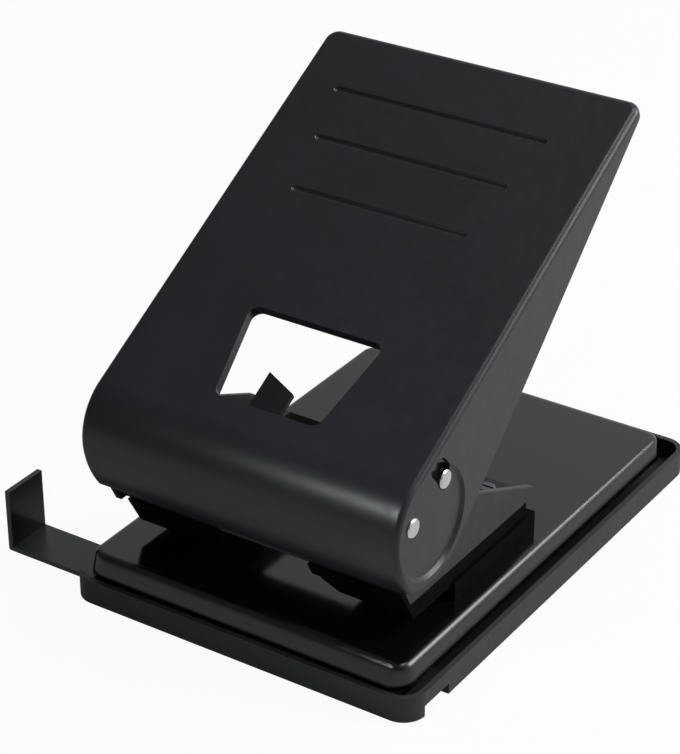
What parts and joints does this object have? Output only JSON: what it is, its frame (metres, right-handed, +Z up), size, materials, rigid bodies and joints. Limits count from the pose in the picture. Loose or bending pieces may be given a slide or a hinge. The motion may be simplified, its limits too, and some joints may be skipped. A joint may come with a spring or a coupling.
{
  "type": "two-hole paper punch",
  "caption": "Manual desk punch: broad pressed lever over two spring-returned punches, glossy base plate, hinged chip tray and sliding paper guide.",
  "frame": {"origin": "on the table plane, below the middle of the chip tray", "axes": "+X to the user's right, +Y to the rear, towards the tray hinge and the lever's free end, +Z up"},
  "size_m": [0.1888, 0.216, 0.178],
  "materials": {
    "tray_plastic": "matte",
    "foot_rubber": "matte",
    "gloss_black_steel": "gloss",
    "lever_black_steel": "satin",
    "satin_black_steel": "satin",
    "block_black": "painted semi-gloss",
    "bright_steel": "bright turned",
    "plated_steel": "zinc plated",
    "hardened_steel": "ground",
    "spring_steel": "wire",
    "screw_steel": "blackened",
    "guide_steel": "satin grey-green"
  },
  "bodies": {
    "tray": {"chip_tray": "tray_plastic", "rubber_feet": "foot_rubber", "hinge_pins": "bright_steel"},
    "base": {"base_plate": "gloss_black_steel", "hinge_leaves": "plated_steel", "die_bush_left": "hardened_steel", "die_bush_right": "hardened_steel", "support_block_left": "block_black", "support_block_right": "block_black", "punch_frame": "satin_black_steel", "frame_screws": "screw_steel", "base_screws": "screw_steel", "guide_bush_left": "hardened_steel", "guide_bush_right": "hardened_steel", "return_spring_left": "spring_steel", "return_spring_right": "spring_steel", "pivot_rod": "bright_steel", "stop_pins": "bright_steel", "guide_post": "plated_steel", "guide_keeper": "plated_steel"},
    "lever": {"lever": "lever_black_steel", "press_bracket_left": "satin_black_steel", "press_bracket_right": "satin_black_steel", "press_bar": "bright_steel", "press_bar_clips": "spring_steel", "centre_bracket": "satin_black_steel"},
    "punch_pin_left": {"punch_left": "hardened_steel"},
    "punch_pin_right": {"punch_right": "hardened_steel"},
    "paper_guide": {"guide_bar": "guide_steel"}
  },
  "joints": [
    {"name": "tray_hinge", "type": "hinge", "parent": "tray", "child": "base", "pos_m": [0, 0.1024, 0.008], "axis": [-1, 0, 0], "range_deg": [0, 45]},
    {"name": "lever_press", "type": "hinge", "parent": "base", "child": "lever", "pos_m": [0, -0.0942, 0.0748], "axis": [-1, 0, 0], "range_deg": [0, 22], "stiffness_Nm_per_rad": 2, "springref_deg": -34.38},
    {"name": "punch_left_slide", "type": "slide", "parent": "base", "child": "punch_pin_left", "axis": [0, 0, -1], "range_m": [0, 0.00985], "deforming": ["return_spring_left"]},
    {"name": "punch_right_slide", "type": "slide", "parent": "base", "child": "punch_pin_right", "axis": [0, 0, -1], "range_m": [0, 0.00985], "deforming": ["return_spring_right"]},
    {"name": "guide_slide", "type": "slide", "parent": "base", "child": "paper_guide", "axis": [-1, 0, 0], "range_m": [-0.034, 0.0367]}
  ],
  "couplings": [
    {"joint": "punch_left_slide", "follows": "lever_press", "m_per_rad": 0.0255},
    {"joint": "punch_right_slide", "follows": "lever_press", "m_per_rad": 0.0255}
  ]
}
